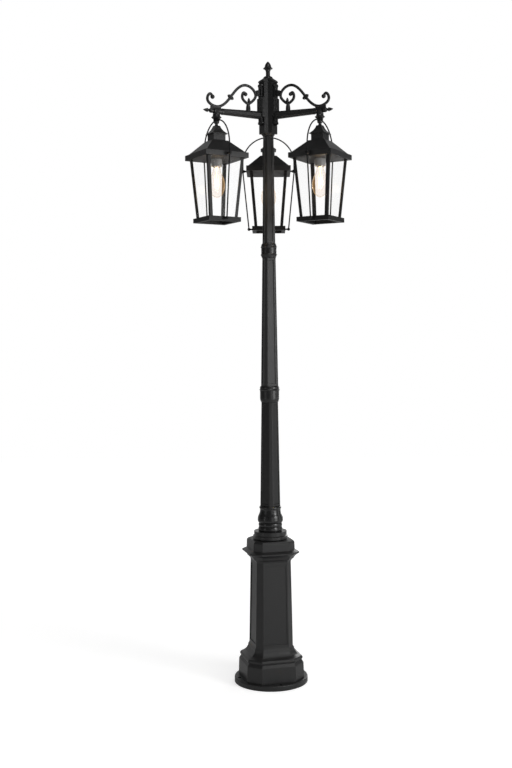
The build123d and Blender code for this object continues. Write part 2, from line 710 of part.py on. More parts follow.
def arm():
    bar = loft([bar_section(ARM_ROOT_SIZE, ARM_ROOT), bar_section(ARM_END_SIZE, ARM_END)], ruled=True)
    bulb_start = BARREL_END
    bulb_stop = bulb_start + BULB_END_WIDTH
    profile = outline(
        (ARM_END, 0),
        (ARM_END, BARREL_COLLAR),
        (ARM_END + BARREL_COLLAR_WIDTH, BARREL_COLLAR),
        (ARM_END + BARREL_COLLAR_WIDTH, BARREL_RADIUS),
        (bulb_start, BARREL_RADIUS),
        (bulb_start, BULB_END_NECK),
        (bulb_start + BULB_END_WIDTH / 2, BULB_END_RADIUS, SPEAR_SAG),
        (bulb_stop, SPEAR_NECK, BULB_END_SAG),
        (bulb_stop + SPEAR_SHOULDER, SPEAR_RADIUS),
        (bulb_stop + SPEAR_LENGTH, TIP_RADIUS, SPEAR_SAG),
        (bulb_stop + SPEAR_LENGTH, 0),
        (ARM_END, 0),
    )
    bar += Pos(0, 0, BARREL_Z) * revolve(make_face(profile), Axis.X)
    return bar + Pos(HANG_RADIUS, 0, 0) * rod(BOSS_RADIUS, BELL_TOP, BARREL_Z)


def scroll(arm_solid):
    """The scrolled bar on top of an arm: an outer curl, a large loop and a small inner curl."""
    outer = bar_through(
        CURL_START,
        CURL_CROWN,
        CURL_SIDE,
        CURL_LOW,
        SCROLL_FOOT,
        SCROLL_RISE,
        SCROLL_SHOULDER,
        LOOP_TOP,
        LOOP_BACK,
        LOOP_SIDE,
        LOOP_LOW,
        SCROLL_JOINT,
    )
    inner = bar_through(SCROLL_JOINT, INNER_RISE, INNER_SIDE, INNER_CROWN, INNER_END)
    bars = outer + inner + Pos(at_hub(SCROLL_JOINT)) * Sphere(SCROLL_RADIUS)
    bars += Pos(at_hub(CURL_BALL)) * Sphere(CURL_BALL_RADIUS)
    bars += Pos(at_hub(INNER_BALL)) * Sphere(INNER_BALL_RADIUS)
    foot = Pos(SADDLE_START, 0, BARREL_Z)
    foot *= Box(
        SADDLE_END - SADDLE_START,
        SADDLE_WIDTH,
        at_hub(SCROLL_FOOT).Z - BARREL_Z,
        align=(Align.MIN, Align.CENTER, Align.MIN),
    )
    return bars + foot + baluster() + bud() + knot() - arm_solid


def baluster():
    """The turned post that carries the scroll's joint on the arm."""
    belly = HUB_BOTTOM + BALUSTER_BELLY
    top = at_hub(SCROLL_JOINT).Z
    post = turned(
        (0, ARM_LOW + ARM_END_SIZE),
        (BALUSTER_LOW_RADIUS, ARM_LOW + ARM_END_SIZE),
        (BALUSTER_RADIUS, belly, -BALUSTER_SAG),
        (BALUSTER_TOP_RADIUS, top, -BALUSTER_SAG),
        (0, top),
    )
    return Pos(SCROLL_JOINT[0], 0, 0) * post


def bud():
    """The pointed bud over the scroll's joint."""
    low = at_hub(SCROLL_JOINT).Z
    shape = turned(
        (0, low),
        (BUD_RADIUS, low),
        (BUD_RADIUS, HUB_BOTTOM + BUD_SHOULDER),
        (TIP_RADIUS, HUB_BOTTOM + BUD_TIP, -BUD_SAG),
        (0, HUB_BOTTOM + BUD_TIP),
    )
    return Pos(BUD_AT, 0, 0) * shape


def knot():
    """The collar with two points that is wrapped round the bar."""
    half = KNOT_LENGTH / 2
    corners = [(-half, -KNOT_HALF), (-half, KNOT_HALF), (0, KNOT_TIP)]
    corners += [(half, KNOT_HALF), (half, -KNOT_HALF), (0, -KNOT_TIP)]
    shape = extrude(Plane.XZ * Polygon(*corners, align=None), KNOT_WIDTH / 2, both=True)
    return Pos(at_hub(KNOT_AT)) * Rot(0, KNOT_SLOPE, 0) * shape


def bell():
    """Turned cup under the arm, with the bore that the lantern's stem turns in."""
    bottom = BELL_TOP - BELL_HEIGHT
    widest = BELL_TOP - BELL_WIDEST
    bore = STEM_RADIUS + STEM_FIT
    depth = SWIVEL_GAP + STEM_INSERT + STEM_TIP_GAP
    shape = turned(
        (0, BELL_TOP),
        (0, bottom),
        (BELL_NECK_RADIUS, bottom),
        (BELL_RADIUS, widest, -BELL_SAG / 2),
        (BELL_TOP_RADIUS, BELL_TOP, BELL_SAG),
    )
    return Pos(HANG_RADIUS, 0, 0) * (shape - rod(bore, bottom - SWIVEL_GAP, bottom + depth))


# ------------------------------------------------------------------ lantern pieces, about the hanging axis
def hanger():
    """Threaded stem, ball and foot in one turned piece."""
    waist = EYE_BOTTOM - HANGER_BALL_HEIGHT
    return turned(
        (0, EYE_TOP + SWIVEL_GAP + STEM_INSERT),
        (STEM_RADIUS, EYE_TOP + SWIVEL_GAP + STEM_INSERT),
        (STEM_RADIUS, EYE_BOTTOM),
        (HANGER_BALL_RADIUS - HANGER_BALL_SAG / 2, EYE_BOTTOM),
        (HANGER_WAIST, waist, HANGER_BALL_SAG),
        (HANGER_FOOT_RADIUS, CUPOLA_TOP, -HANGER_FLARE_SAG),
        (0, CUPOLA_TOP),
    )


def bail_path():
    """The right half's line from the ball knob up to the arch, then the arch, then the left half."""
    arch_z = EYE_BOTTOM + EYE_THICKNESS / 2 - BAIL_REACH
    foot_z = RAIL_LOW + BALL_KNOB_HEIGHT
    bend_z = EAVE_LOW + BAIL_BEND_HEIGHT
    legs = []
    for side in (1, -1):
        reach = side * BAIL_REACH
        corners = [(0, side * BAIL_FOOT, foot_z), (0, reach, bend_z), (0, reach, arch_z)]
        legs.append(FilletPolyline(*corners, radius=BAIL_BEND))
    arch = ThreePointArc((0, BAIL_REACH, arch_z), (0, 0, arch_z + BAIL_REACH), (0, -BAIL_REACH, arch_z))
    return Wire([*legs[0].edges(), arch, *legs[1].edges()])


def bail_wire():
    path = bail_path()
    return sweep(Plane(origin=path @ 0, z_dir=path % 0) * Circle(BAIL_WIRE / 2), path=path)


def bail(wire):
    eye = rod(EYE_RADIUS, EYE_BOTTOM, EYE_TOP)
    return wire + eye - rod(STEM_RADIUS + STEM_FIT, EYE_BOTTOM - EYE_THICKNESS, EYE_TOP + EYE_THICKNESS)


def bail_knobs(wire):
    """Two stand-off knobs on the eave and two ball knobs on the rail, on the sides of the bail."""
    neck = BAIL_REACH - KNOB_BEHIND
    end = BAIL_REACH + KNOB_AHEAD
    upper = turned(
        (0, EAVE_HALF),
        (KNOB_SHANK, EAVE_HALF),
        (KNOB_SHANK, neck),
        (KNOB_RADIUS, neck),
        (KNOB_RADIUS, end - KNOB_ROUND),
        (TIP_RADIUS, end, -KNOB_SAG),
        (0, end),
    )
    lower = rod(BALL_KNOB_SHANK, RAIL_HALF, BAIL_FOOT) + Pos(0, 0, BAIL_FOOT) * Sphere(BALL_KNOB_RADIUS)
    knobs = []
    for side in (90, 270):
        knobs.append(Pos(0, 0, EAVE_LOW + KNOB_HEIGHT) * Rot(0, 0, side) * Rot(0, 90, 0) * upper - wire)
        knobs.append(Pos(0, 0, RAIL_LOW + BALL_KNOB_HEIGHT) * Rot(0, 0, side) * Rot(0, 90, 0) * lower - wire)
    return knobs


def cupola():
    """A small square box under a flared roof with hollow curved sides."""
    edge_top = CUPOLA_EAVE + CUPOLA_EDGE
    right = outline(
        (CUPOLA_EAVE_HALF, CUPOLA_EAVE),
        (CUPOLA_EAVE_HALF, edge_top),
        (CUPOLA_PEAK_HALF, CUPOLA_TOP, CUPOLA_SAG),
    )
    left = [mirror(edge, Plane.YZ) for edge in right]
    ends = [Line(left[0] @ 0, right[0] @ 0), Line(left[-1] @ 1, right[-1] @ 1)]
    slab = extrude(make_face([*right, *left, *ends]), FAR, both=True)
    roof_cap = slab & Rot(0, 0, 90) * slab
    return roof_cap + block(CUPOLA_BOX_HALF, ROOF_TOP, CUPOLA_EAVE)


def roof():
    """Hipped sheet roof with its eave band."""
    outer = frustum(ROOF_EAVE_HALF, EAVE_TOP, ROOF_TOP_HALF, ROOF_TOP) + block(EAVE_HALF, EAVE_LOW, EAVE_TOP)
    band_inner = EAVE_HALF - ROOF_SHEET
    inner = block(band_inner, EAVE_LOW - ROOF_SHEET, EAVE_TOP - ROOF_SHEET)
    low = (ROOF_EAVE_HALF - ROOF_SHEET, EAVE_TOP - ROOF_SHEET)
    high = (ROOF_TOP_HALF - ROOF_SHEET, ROOF_TOP - ROOF_SHEET)
    return outer - inner - frustum(*low, *high)


def ceiling():
    half = EAVE_HALF - ROOF_SHEET - CEILING_CLEARANCE
    top = EAVE_LOW + CEILING_THICKNESS
    hole = rod(CEILING_HOLE / 2, EAVE_LOW - CEILING_THICKNESS, top + CEILING_THICKNESS)
    return block(half, EAVE_LOW, top) - hole


def cage(inset):
    """The tapered space of the cage, drawn in by inset on every side."""
    return frustum(CAGE_BOTTOM_HALF - inset, CAGE_LOW, CAGE_TOP_HALF - inset, EAVE_LOW)


def window(inset, along_x):
    """A tapered gap through two opposite sides of the cage, inset from its corners."""
    sections = []
    for half, height in ((CAGE_BOTTOM_HALF, CAGE_LOW), (CAGE_TOP_HALF, EAVE_LOW)):
        wide, deep = 2 * (half - inset), 4 * CAGE_TOP_HALF
        size = (deep, wide) if along_x else (wide, deep)
        sections.append(Pos(0, 0, height) * Rectangle(*size))
    return loft(sections, ruled=True)


def frame():
    """Four angle posts standing on a square rail."""
    posts = cage(0) - cage(POST_SHEET) - window(POST_LEG, True) - window(POST_LEG, False)
    rail = block(RAIL_HALF, RAIL_LOW, CAGE_LOW)
    rail -= block(RAIL_INNER_HALF, RAIL_LOW - RAIL_HEIGHT, CAGE_LOW + RAIL_HEIGHT)
    return rail + posts


def glass():
    """Four loose panes behind the posts."""
    outside = POST_SHEET + GLASS_CLEARANCE
    box = cage(outside) - cage(outside + GLASS_THICKNESS)
    corner = outside + GLASS_CORNER
    panes = []
    for along_x in (True, False):
        panes.extend((box & window(corner, along_x)).solids())
    return panes


def socket():
    """Cup that the bulb's cap screws into, with a scalloped lower edge."""
    bore = BULB_CAP_RADIUS + BULB_CAP_CLEARANCE
    cup = turned(
        (0, EAVE_LOW),
        (0, EAVE_LOW - SOCKET_ROOF),
        (bore, EAVE_LOW - SOCKET_ROOF),
        (bore, SOCKET_LOW),
        (SOCKET_RADIUS - SOCKET_RIM, SOCKET_LOW),
        (SOCKET_RADIUS, SOCKET_LOW + SOCKET_RIM),
        (SOCKET_RADIUS, EAVE_LOW),
    )
    cutter = Rot(0, 90, 0) * Cylinder(SCALLOP_RADIUS, 2 * (SOCKET_RADIUS - bore))
    height = SOCKET_LOW + SCALLOP_DEPTH - SCALLOP_RADIUS
    for place in PolarLocations(SOCKET_RADIUS, SCALLOP_COUNT, start_angle=180 / SCALLOP_COUNT):
        cup -= Pos(0, 0, height) * place * cutter
    return cup


def bulb_steps(inset):
    """The pear-shaped outline of the bulb's glass, from its neck to its tip."""
    shoulder = GLASS_TOP - BULB_SHOULDER
    widest = GLASS_TOP - BULB_WIDEST
    bottom = GLASS_TOP - BULB_LENGTH
    return [
        (BULB_NECK_RADIUS - inset, GLASS_TOP),
        (BULB_SHOULDER_RADIUS - inset, shoulder, -BULB_SHOULDER_SAG),
        (BULB_RADIUS - inset, widest, BULB_SHOULDER_SAG),
        (BULB_CHEEK_RADIUS - inset, widest - BULB_CHEEK, BULB_CHEEK_SAG),
        (BULB_TIP_RADIUS, bottom + inset, BULB_DOME_SAG),
        (0, bottom + inset),
    ]


def bulb_glass():
    outer = turned((0, GLASS_TOP), *bulb_steps(0))
    return outer - turned((0, GLASS_TOP), *bulb_steps(BULB_WALL))


def bulb_cap():
    top = EAVE_LOW - SOCKET_ROOF - BULB_CAP_CLEARANCE
    shoulder = top - CAP_PIP_HEIGHT
    return turned(
        (0, GLASS_TOP),
        (BULB_CAP_RADIUS, GLASS_TOP),
        (BULB_CAP_RADIUS, shoulder),
        (CAP_PIP_RADIUS, top),
        (0, top),
    )


def filament():
    """Glass stem with a cage of slanting wires."""
    stem_low = GLASS_TOP - GLASS_STEM_LENGTH
    low = stem_low - FILAMENT_LENGTH
    shape = turned((0, GLASS_TOP), (GLASS_STEM_RADIUS, GLASS_TOP), (FILAMENT_HUB, stem_low), (0, stem_low))
    shape += rod(FILAMENT_HUB, low, stem_low)
    for number in range(FILAMENT_COUNT):
        angle = 360 * number / FILAMENT_COUNT
        spoke = Vector(FILAMENT_RADIUS, 0, 0).rotate(Axis.Z, angle)
        next_spoke = spoke.rotate(Axis.Z, 360 / FILAMENT_COUNT)
        corners = [Vector(0, 0, stem_low), spoke + Vector(0, 0, stem_low - FILAMENT_RADIUS)]
        corners += [next_spoke + Vector(0, 0, low + FILAMENT_RADIUS), Vector(0, 0, low + FILAMENT_HUB)]
        path = Polyline(*corners)
        wire = Plane(origin=path @ 0, z_dir=path % 0) * RegularPolygon(FILAMENT_WIRE / 2, 4)
        shape += sweep(wire, path=path, transition=Transition.RIGHT)
    return shape


# ------------------------------------------------------------------ the whole post
def pieces():
    """Every piece of the lamp post by its name."""
    parts = {
        "base_plate": base_plate(),
        "pedestal": pedestal(),
        "pole_foot": pole_foot(),
        "lower_shaft": shaft(LOWER_TURN, FOOT_TOP, LOWER_LENGTH, LOWER_HALVES),
        "lower_coupling": lower_coupling(),
        "middle_shaft": shaft(MIDDLE_TURN, LOWER_COUPLING_TOP, MIDDLE_LENGTH, MIDDLE_HALVES),
        "upper_coupling": upper_coupling(),
        "upper_shaft": shaft(UPPER_TURN, UPPER_COUPLING_TOP, UPPER_LENGTH, UPPER_HALVES),
        "thread_nipples": thread_nipples(),
        "hub": hub(),
        "top_finial": top_finial(),
        "plate_screws": plate_screws(),
    }
    arm_solid = arm()
    scroll_solid = scroll(arm_solid)
    on_arm = {
        "arm": arm_solid,
        "scroll": scroll_solid,
        "bracket_plate": bracket_plate(scroll_solid),
        "bell": bell(),
    }
    wire = bail_wire()
    on_lantern = {
        "hanger": hanger(),
        "bail": bail(wire),
        "bail_knobs": bail_knobs(wire),
        "cupola": cupola(),
        "roof": roof(),
        "ceiling": ceiling(),
        "frame": frame(),
        "glass": glass(),
        "socket": socket(),
        "bulb_glass": bulb_glass(),
        "bulb_cap": bulb_cap(),
        "filament": filament(),
    }
    for side, angle in ARM_HEADINGS.items():
        turn = Rot(0, 0, angle)
        for name, shape in on_arm.items():
            parts[f"{name}_{side}"] = turn * shape
        place = turn * Pos(HANG_RADIUS, 0, 0)
        for name, shape in on_lantern.items():
            node = f"{name}_{side}"
            parts[node] = [place * one for one in shape] if isinstance(shape, list) else place * shape
    return parts


os.makedirs("parts", exist_ok=True)
for node, shape in pieces().items():
    solid = Compound(children=shape) if isinstance(shape, list) else shape
    export_step(solid, f"parts/{node}.step")
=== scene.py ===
# %% [markdown]
# # Triple head lamp post
# The post is a black powder-coated casting with a screwed pole, three scrolled arms and three hanging
# lanterns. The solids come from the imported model, in metres, and stay where they are. This lesson gives
# them their finishes, rounds their edges, adds what is too fine for the solids, and sets up the studio.

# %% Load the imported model
import json
from math import atan2, cos, pi, radians, sin
import bpy
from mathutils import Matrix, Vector


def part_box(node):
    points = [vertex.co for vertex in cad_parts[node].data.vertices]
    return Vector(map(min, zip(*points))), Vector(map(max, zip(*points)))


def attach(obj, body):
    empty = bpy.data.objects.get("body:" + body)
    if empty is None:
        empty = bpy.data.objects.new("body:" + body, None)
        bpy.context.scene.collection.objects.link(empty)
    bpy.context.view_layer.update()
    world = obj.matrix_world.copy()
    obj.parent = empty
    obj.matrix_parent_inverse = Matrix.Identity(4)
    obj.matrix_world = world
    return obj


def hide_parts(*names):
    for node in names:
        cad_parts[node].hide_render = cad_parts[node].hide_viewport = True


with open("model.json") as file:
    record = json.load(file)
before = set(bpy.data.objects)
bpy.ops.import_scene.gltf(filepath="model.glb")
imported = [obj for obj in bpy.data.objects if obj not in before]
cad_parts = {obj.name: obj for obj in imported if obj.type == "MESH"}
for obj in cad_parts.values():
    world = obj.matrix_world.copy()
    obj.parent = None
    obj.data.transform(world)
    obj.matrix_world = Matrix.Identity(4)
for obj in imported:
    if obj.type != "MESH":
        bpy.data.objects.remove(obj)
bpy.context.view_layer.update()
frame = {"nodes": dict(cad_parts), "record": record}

nodes = frame["nodes"]
SIDES = ("left", "right", "rear")

# %% [markdown]
# ## Effects that several finishes share
# Powder coat is sprayed on as dust and melted, so it keeps a fine orange-peel surface, a slightly uneven
# gloss, and outdoors a thin film of dust on what looks upward. Each effect could be drawn again in every
# material. Here it is a node group with named inputs, built once, and each coat uses it with its own
# values.
#
# Nodes are wordy to make one by one, so a few small functions stand for the kinds that come back often.

# %% Helpers for a group
def new_group(name, inputs, output):
    """An empty group. Inputs holds the label and the start value of each number that a finish can set."""
    group = bpy.data.node_groups.new(name, "ShaderNodeTree")
    for label, value in inputs.items():
        socket = group.interface.new_socket(name=label, in_out="INPUT", socket_type="NodeSocketFloat")
        socket.default_value = value
    group.interface.new_socket(name=output, in_out="OUTPUT", socket_type="NodeSocketFloat")
    return group, group.nodes.new("NodeGroupInput"), group.nodes.new("NodeGroupOutput")


def set_or_link(tree, socket, value):
    """Writes a plain value into the socket, or links another node's output to it."""
    if isinstance(value, (int, float, tuple)):
        socket.default_value = value
    else:
        tree.links.new(value, socket)


def object_place(tree):
    """Coordinates of the object itself, so that a pattern stays on its piece when the piece moves."""
    return tree.nodes.new("ShaderNodeTexCoord").outputs["Object"]


# %% Helpers for patterns and sums
def noise(tree, scale, detail, place, roughness=0.5):
    node = tree.nodes.new("ShaderNodeTexNoise")
    node.inputs["Detail"].default_value = detail
    node.inputs["Roughness"].default_value = roughness
    tree.links.new(place, node.inputs["Vector"])
    set_or_link(tree, node.inputs["Scale"], scale)
    return node.outputs["Fac"]


def calculate(tree, operation, *values, clamp=False):
    node = tree.nodes.new("ShaderNodeMath")
    node.operation = operation
    node.use_clamp = clamp
    for socket, value in zip(node.inputs, values):
        set_or_link(tree, socket, value)
    return node.outputs[0]


def remap(tree, value, low, high, to_low, to_high):
    """Stretches the range from low to high onto another range and holds its ends."""
    node = tree.nodes.new("ShaderNodeMapRange")
    tree.links.new(value, node.inputs["Value"])
    node.inputs["From Min"].default_value = low
    node.inputs["From Max"].default_value = high
    node.inputs["To Min"].default_value = to_low
    node.inputs["To Max"].default_value = to_high
    return node.outputs["Result"]


# %% [markdown]
# Orange peel is the fine unevenness of a coat that was sprayed and melted. It could be a picture of bumps,
# but noise in space needs no unwrapping and has no seams. Fine bumps ride on broad ones, and castings also
# show the pits of the sand mould.

# %% Orange peel
peel, peel_in, peel_out = new_group("orange_peel", {"Bumps per metre": 420.0, "Cast pits": 0.0}, "Height")
place = object_place(peel)
fine = noise(peel, peel_in.outputs["Bumps per metre"], 3.0, place, 0.6)
broad = noise(peel, 65.0, 2.0, place)
pits = remap(peel, noise(peel, 150.0, 4.0, place, 0.7), 0.58, 0.75, 0.0, 1.0)
pits = calculate(peel, "MULTIPLY", pits, peel_in.outputs["Cast pits"])
height = calculate(peel, "ADD", fine, calculate(peel, "MULTIPLY", broad, 0.6))
height = calculate(peel, "SUBTRACT", height, pits)
peel.links.new(height, peel_out.inputs["Height"])
print("group", peel.name)

# %% [markdown]
# Rain, hands and the oven leave some patches a little duller than others. A soft cloud of noise moves the
# roughness up and down around the value that a finish asks for.

# %% Uneven gloss
gloss, gloss_in, gloss_out = new_group("uneven_gloss", {"Roughness": 0.42, "Spread": 0.08}, "Roughness")
cloud = noise(gloss, 14.0, 5.0, object_place(gloss), 0.65)
swing = calculate(gloss, "MULTIPLY", calculate(gloss, "SUBTRACT", cloud, 0.5), gloss_in.outputs["Spread"])
rough = calculate(gloss, "MULTIPLY_ADD", swing, 2.0, gloss_in.outputs["Roughness"], clamp=True)
gloss.links.new(rough, gloss_out.inputs["Roughness"])
print("group", gloss.name)

# %% [markdown]
# Dust settles on what looks upward. It could be painted by hand. Here the surface's own direction tells
# where it lies, and noise breaks it into patches.

# %% Dust film
dust, dust_in, dust_out = new_group("dust_film", {"Amount": 0.3}, "Mask")
facing = dust.nodes.new("ShaderNodeSeparateXYZ")
dust.links.new(dust.nodes.new("ShaderNodeNewGeometry").outputs["Normal"], facing.inputs[0])
upward = remap(dust, facing.outputs["Z"], 0.1, 0.95, 0.12, 1.0)
patches = remap(dust, noise(dust, 45.0, 6.0, object_place(dust), 0.7), 0.35, 0.7, 0.15, 1.0)
mask = calculate(dust, "MULTIPLY", upward, patches)
mask = calculate(dust, "MULTIPLY", mask, dust_in.outputs["Amount"], clamp=True)
dust.links.new(mask, dust_out.inputs["Mask"])
print("group", dust.name)

# %% [markdown]
# ## The black coat
# The whole post wears one black powder coat, but it doesn't look the same everywhere. The castings have
# deeper peel and a few pits, the pole tubes are smoother, and the lantern sheet and the wire are the
# smoothest. The turned pieces and the vase of the pole foot are glossier, and the roofs hold the most dust.
# One function makes them all. The Principled shader stays in each material, and only what varies over the
# surface comes from the groups. Thin sheet and wire mirror less, because in the photograph they stay nearly
# pure black.
#
# Blender's Mix node lists the sockets of its number, vector and colour versions one after another, so the
# colour ones go by their place in that list.

# %% Helpers for a material
MIX_MASK, MIX_FIRST, MIX_SECOND, MIX_RESULT = 0, 6, 7, 2


def new_material(name):
    material = bpy.data.materials.new(name)
    material.use_nodes = True
    tree = material.node_tree
    return material, tree, tree.nodes["Principled BSDF"]


def use_group(tree, group, **values):
    """Puts a group into a material, with its inputs set by their labels."""
    node = tree.nodes.new("ShaderNodeGroup")
    node.node_tree = group
    for label, value in values.items():
        node.inputs[label.replace("_", " ").capitalize()].default_value = value
    return node.outputs[0]


def mix_colour(tree, mask, first, second):
    node = tree.nodes.new("ShaderNodeMix")
    node.data_type = "RGBA"
    tree.links.new(mask, node.inputs[MIX_MASK])
    set_or_link(tree, node.inputs[MIX_FIRST], first)
    set_or_link(tree, node.inputs[MIX_SECOND], second)
    return node.outputs[MIX_RESULT]


def bump(tree, height, distance):
    node = tree.nodes.new("ShaderNodeBump")
    node.inputs["Distance"].default_value = distance
    tree.links.new(height, node.inputs["Height"])
    return node.outputs["Normal"]


# %% One coat
COAT_DARK = (0.0064, 0.0065, 0.0068, 1.0)
COAT_LIGHT = (0.0110, 0.0110, 0.0112, 1.0)
DUST = (0.090, 0.087, 0.080, 1.0)
DUST_ROUGHENS = 0.25


def black_coat(name, roughness, spread, bumps, depth, film, pits, mirror):
    material, tree, shader = new_material(name)
    shader.inputs["Specular IOR Level"].default_value = mirror
    colour = mix_colour(tree, noise(tree, 9.0, 4.0, object_place(tree), 0.6), COAT_DARK, COAT_LIGHT)
    mask = use_group(tree, dust, amount=film)
    tree.links.new(mix_colour(tree, mask, colour, DUST), shader.inputs["Base Color"])
    rough = use_group(tree, gloss, roughness=roughness, spread=spread)
    rough = calculate(tree, "MULTIPLY_ADD", mask, DUST_ROUGHENS, rough, clamp=True)
    tree.links.new(rough, shader.inputs["Roughness"])
    height = use_group(tree, peel, bumps_per_metre=bumps, cast_pits=pits)
    tree.links.new(bump(tree, height, depth), shader.inputs["Normal"])
    return material


# %% All the coats
COATS = {
    # roughness, its swing, bumps per metre, their depth in metres, dust, pits, mirror
    "cast": (0.41, 0.08, 380.0, 0.00014, 0.05, 0.8, 0.50),
    "tube": (0.45, 0.06, 520.0, 0.00007, 0.03, 0.0, 0.50),
    "sheet": (0.40, 0.08, 620.0, 0.00003, 0.04, 0.0, 0.20),
    "roof": (0.42, 0.10, 460.0, 0.00014, 0.12, 0.3, 0.50),
    "wire": (0.42, 0.06, 700.0, 0.00003, 0.02, 0.0, 0.14),
    "turned": (0.33, 0.06, 700.0, 0.00004, 0.03, 0.0, 0.50),
    "vase": (0.27, 0.05, 420.0, 0.00004, 0.03, 0.0, 0.50),
    "carved": (0.32, 0.10, 380.0, 0.00010, 0.05, 0.4, 0.50),
    "forged": (0.44, 0.10, 260.0, 0.00016, 0.03, 0.5, 0.50),
}
coats = {kind: black_coat(kind + "_coat", *values) for kind, values in COATS.items()}
print("coats", ", ".join(coats))

# %% [markdown]
# ## Window panes
# The lanterns' panes are clear. What one sees of clear glass is the small share of light that it mirrors,
# much more at a slant than straight on, plus a faint film of dust. Glass can be rendered by bending the
# light, but that stops the lamp's light and gives grain. A mirror that covers only the mirrored share of the
# pane looks the same and lets the light through: so Alpha is the mirrored share, and the rest of the pane is
# open. Straight on the share is lower than on real glass, because the photograph shows next to none there.

# %% Pane glass
FILM = 0.004
STRAIGHT_ON = 0.003
GLANCING = 0.6
CLEAN_TONE = (0.93, 0.95, 0.95, 1.0)
DUSTY_TONE = (0.80, 0.80, 0.78, 1.0)
pane_glass, tree, shader = new_material("pane_glass")
stretch = tree.nodes.new("ShaderNodeMapping")
stretch.inputs["Scale"].default_value = (22.0, 22.0, 5.0)
tree.links.new(object_place(tree), stretch.inputs["Vector"])
film = remap(tree, noise(tree, 1.0, 6.0, stretch.outputs["Vector"], 0.6), 0.4, 0.75, 0.0, FILM)
slant = tree.nodes.new("ShaderNodeLayerWeight")
slant.inputs["Blend"].default_value = 0.5
steep = calculate(tree, "POWER", slant.outputs["Facing"], 5.0)
straight = calculate(tree, "ADD", film, STRAIGHT_ON)
share = calculate(tree, "MULTIPLY_ADD", steep, GLANCING, straight, clamp=True)
tree.links.new(share, shader.inputs["Alpha"])
tone = mix_colour(tree, calculate(tree, "DIVIDE", film, FILM), CLEAN_TONE, DUSTY_TONE)
tree.links.new(tone, shader.inputs["Base Color"])
shader.inputs["Metallic"].default_value = 1.0
tree.links.new(remap(tree, film, 0.0, FILM, 0.13, 0.22), shader.inputs["Roughness"])
print("material", pane_glass.name)

# %% [markdown]
# ## Lamps
# The bulb's glass is clear too, with a thin amber tint as old-style lamps have. One looks through more of
# it near the outline, so there Alpha rises and the amber shows; in the middle the lit filament shows. The
# glass itself glows a little, for the lamp's light that it scatters.

# %% Bulb glass
bulb_glass, tree, shader = new_material("bulb_glass")
slant = tree.nodes.new("ShaderNodeLayerWeight")
slant.inputs["Blend"].default_value = 0.5
rim = remap(tree, slant.outputs["Facing"], 0.30, 1.0, 0.0, 1.0)
rim = calculate(tree, "POWER", rim, 2.4)
ripple = noise(tree, 60.0, 3.0, object_place(tree))
middle = remap(tree, ripple, 0.3, 0.7, 0.05, 0.08)
tree.links.new(calculate(tree, "MULTIPLY_ADD", rim, 0.44, middle, clamp=True), shader.inputs["Alpha"])
amber = mix_colour(tree, ripple, (0.060, 0.030, 0.012, 1.0), (0.045, 0.020, 0.007, 1.0))
tree.links.new(amber, shader.inputs["Base Color"])
shine = mix_colour(tree, ripple, (1.0, 0.66, 0.27, 1.0), (1.0, 0.60, 0.22, 1.0))
tree.links.new(shine, shader.inputs["Emission Color"])
shader.inputs["Emission Strength"].default_value = 0.55
tree.links.new(remap(tree, ripple, 0.3, 0.7, 0.02, 0.06), shader.inputs["Roughness"])
print("material", bulb_glass.name)

# %% [markdown]
# The filament is a lit wire on a glass stem. Its light could come from the wire alone, but so thin a
# lamp renders with grain. So the wire only looks bright, and a small light around it, made further down,
# does the lighting.

# %% Filament
filament_glow, tree, shader = new_material("filament_glow")
heat = noise(tree, 160.0, 2.0, object_place(tree))
glow = mix_colour(tree, heat, (1.0, 0.72, 0.36, 1.0), (1.0, 0.84, 0.55, 1.0))
tree.links.new(glow, shader.inputs["Emission Color"])
straw = mix_colour(tree, heat, (0.9, 0.7, 0.4, 1.0), (0.8, 0.6, 0.3, 1.0))
tree.links.new(straw, shader.inputs["Base Color"])
shader.inputs["Emission Strength"].default_value = 2.0
shader.inputs["Roughness"].default_value = 0.5
print("material", filament_glow.name)

# %% [markdown]
# ## Bare metal, glass and porcelain
# The bulb's cap is rolled nickel-plated brass with a black glass ring and a drop of solder. The socket is
# glazed porcelain, and the pipe nipples inside the pole are zinc-plated. Each has a colour that drifts
# between two near tones and an uneven gloss, so one function makes the five of them. The glaze gets a fine
# relief as well.

# %% Plain finishes
def plain_finish(name, scale, detail, dark, light, roughness, spread, metallic):
    material, tree, shader = new_material(name)
    tone = mix_colour(tree, noise(tree, scale, detail, object_place(tree)), (*dark, 1.0), (*light, 1.0))
    tree.links.new(tone, shader.inputs["Base Color"])
    shader.inputs["Metallic"].default_value = metallic
    tree.links.new(use_group(tree, gloss, roughness=roughness, spread=spread), shader.inputs["Roughness"])
    return material


NICKEL = ((0.62, 0.61, 0.59), (0.8, 0.79, 0.77))
BLACK_GLASS = ((0.012, 0.010, 0.012), (0.03, 0.022, 0.03))
SOLDER = ((0.42, 0.42, 0.43), (0.6, 0.6, 0.6))
GLAZE = ((0.20, 0.20, 0.195), (0.27, 0.265, 0.255))
ZINC = ((0.36, 0.37, 0.38), (0.55, 0.56, 0.57))
cap_metal = plain_finish("cap_metal", 90.0, 4.0, *NICKEL, roughness=0.28, spread=0.1, metallic=1.0)
insulator = plain_finish("insulator", 200.0, 3.0, *BLACK_GLASS, roughness=0.12, spread=0.04, metallic=0.0)
solder = plain_finish("solder", 300.0, 4.0, *SOLDER, roughness=0.42, spread=0.15, metallic=1.0)
porcelain = plain_finish("porcelain", 30.0, 4.0, *GLAZE, roughness=0.32, spread=0.08, metallic=0.0)
zinc = plain_finish("zinc", 70.0, 5.0, *ZINC, roughness=0.4, spread=0.12, metallic=1.0)

# %% A fine relief on the glaze
tree = porcelain.node_tree
relief = bump(tree, use_group(tree, peel, bumps_per_metre=300.0), 0.00006)
tree.links.new(relief, tree.nodes["Principled BSDF"].inputs["Normal"])
print("materials", len(bpy.data.materials))

